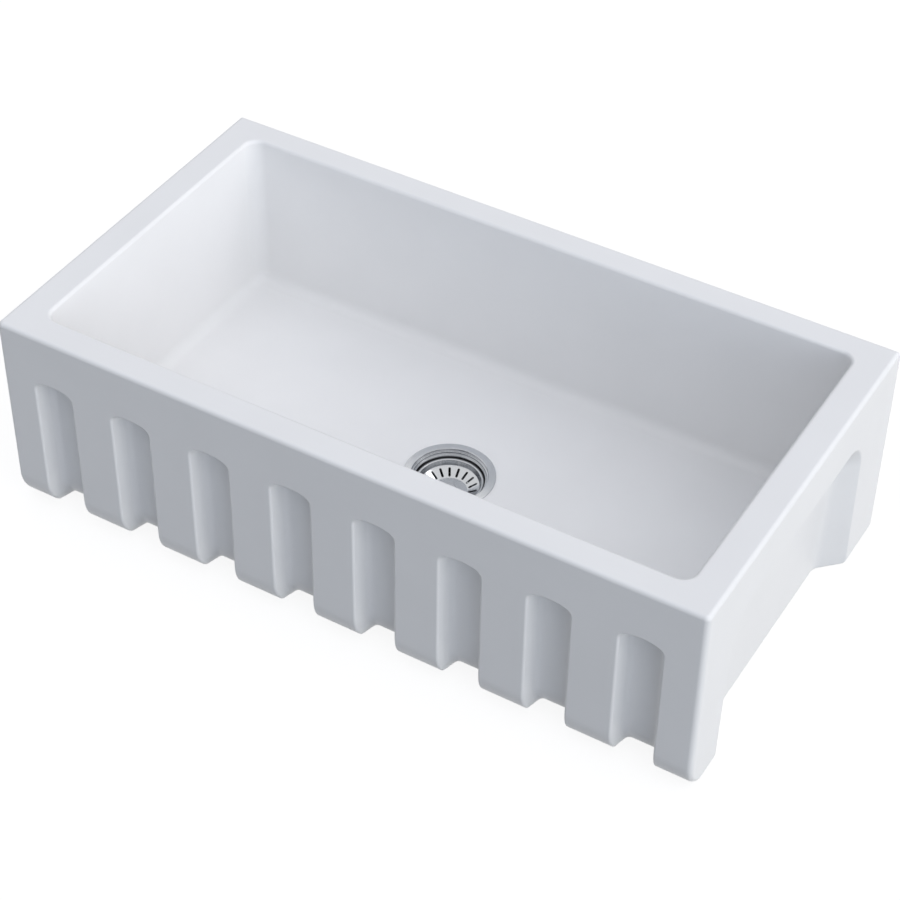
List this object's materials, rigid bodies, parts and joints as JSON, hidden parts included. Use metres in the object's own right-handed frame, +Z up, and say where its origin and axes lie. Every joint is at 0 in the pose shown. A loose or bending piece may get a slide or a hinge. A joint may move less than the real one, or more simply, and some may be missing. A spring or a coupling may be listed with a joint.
{
  "type": "farmhouse apron front sink",
  "caption": "Rectangular white fireclay kitchen sink with a deep basin, a fluted apron front, recessed ends and a stainless basket strainer waste.",
  "frame": {"origin": "middle of the bottom plane on which the fireclay block stands", "axes": "+X along the length, +Y from the fluted apron towards the back, +Z up"},
  "size_m": [0.8382, 0.4572, 0.2806],
  "materials": {
    "glaze": "gloss",
    "stainless": "polished",
    "knob_metal": "satin",
    "rubber": "matt",
    "moulded_plastic": "matt",
    "brass": "turned"
  },
  "bodies": {
    "sink": {"sink_basin": "glaze", "flange_seal": "rubber", "strainer_cup": "stainless", "lower_gasket": "rubber", "waste_body": "moulded_plastic", "thread_insert": "brass", "clamp_screw": "stainless", "screw_washer": "rubber"},
    "stem": {"basket_stem": "stainless", "basket_knob": "knob_metal", "stem_clip": "moulded_plastic"},
    "basket": {"basket_cup": "stainless", "basket_seal": "rubber"}
  },
  "joints": [
    {"name": "basket_lift", "type": "slide", "parent": "sink", "child": "stem", "axis": [0, 0, 1], "range_m": [0, 0.25]},
    {"name": "basket_turn", "type": "hinge", "parent": "stem", "child": "basket", "pos_m": [0, 0.009, 0.035], "axis": [0, 0, 1], "continuous": true}
  ]
}
